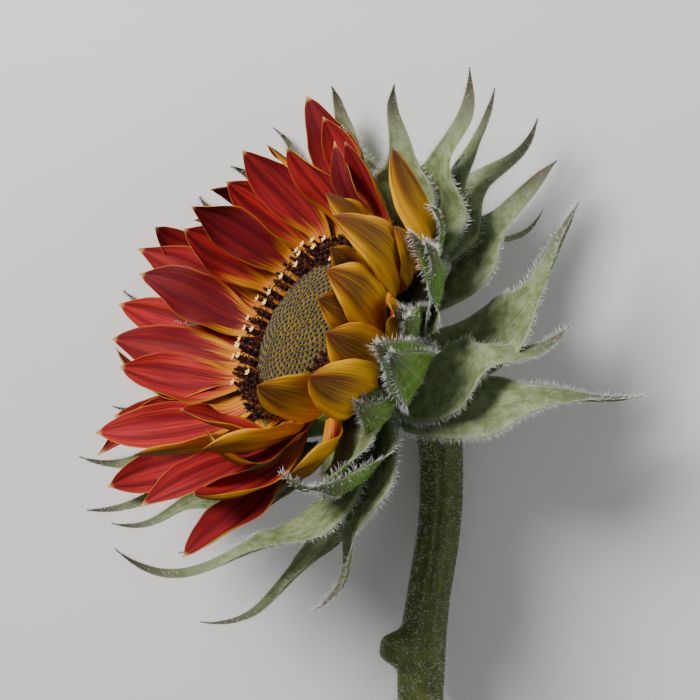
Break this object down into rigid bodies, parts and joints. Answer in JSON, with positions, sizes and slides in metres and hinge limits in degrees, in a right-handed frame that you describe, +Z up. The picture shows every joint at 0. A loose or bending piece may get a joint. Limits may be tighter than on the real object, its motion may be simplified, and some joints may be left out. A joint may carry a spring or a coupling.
{
  "type": "cut sunflower head in flower",
  "caption": "Cut sunflower in flower, red ray florets round a dark ringed disc, long hairy green bracts, short bent stem, lying on its side.",
  "frame": {"origin": "centre of the box that holds the flower, at its base: the surface that it lies on is z = 0", "axes": "+Z up from that surface; +Y along the surface from the cut end of the stem towards the head; +X to the right of that"},
  "size_m": [0.1524, 0.1974, 0.1093],
  "materials": {
    "ray_floret": "thin soft petal, satin crimson inside with a golden back",
    "bract": "soft leaf, matt sage green with white hairs",
    "disc": "matt packed buds, olive yellow with violet pits",
    "floret_ring": "open florets, near-black purple with cream stigmas",
    "receptacle": "matt green flesh",
    "stem": "matt olive, ribbed and bristly"
  },
  "bodies": {
    "root": {"bract_01": "bract", "bract_02": "bract", "bract_03": "bract", "bract_04": "bract", "bract_05": "bract", "bract_06": "bract", "bract_07": "bract", "bract_08": "bract", "bract_09": "bract", "bract_10": "bract", "bract_11": "bract", "bract_12": "bract", "bract_13": "bract", "bract_14": "bract", "bract_15": "bract", "bract_16": "bract", "bract_17": "bract", "bract_18": "bract", "bract_19": "bract", "bract_20": "bract", "bract_21": "bract", "bract_22": "bract", "disc": "disc", "floret_ring": "floret_ring", "ray_floret_01": "ray_floret", "ray_floret_02": "ray_floret", "ray_floret_03": "ray_floret", "ray_floret_04": "ray_floret", "ray_floret_05": "ray_floret", "ray_floret_06": "ray_floret", "ray_floret_07": "ray_floret", "ray_floret_08": "ray_floret", "ray_floret_09": "ray_floret", "ray_floret_10": "ray_floret", "ray_floret_11": "ray_floret", "ray_floret_12": "ray_floret", "ray_floret_13": "ray_floret", "ray_floret_14": "ray_floret", "ray_floret_15": "ray_floret", "ray_floret_16": "ray_floret", "ray_floret_17": "ray_floret", "ray_floret_18": "ray_floret", "ray_floret_19": "ray_floret", "ray_floret_20": "ray_floret", "ray_floret_21": "ray_floret", "ray_floret_22": "ray_floret", "ray_floret_23": "ray_floret", "ray_floret_24": "ray_floret", "ray_floret_25": "ray_floret", "ray_floret_26": "ray_floret", "ray_floret_27": "ray_floret", "ray_floret_28": "ray_floret", "ray_floret_29": "ray_floret", "ray_floret_30": "ray_floret", "ray_floret_31": "ray_floret", "ray_floret_32": "ray_floret", "ray_floret_33": "ray_floret", "ray_floret_34": "ray_floret", "receptacle": "receptacle", "stem": "stem"}
  },
  "joints": []
}
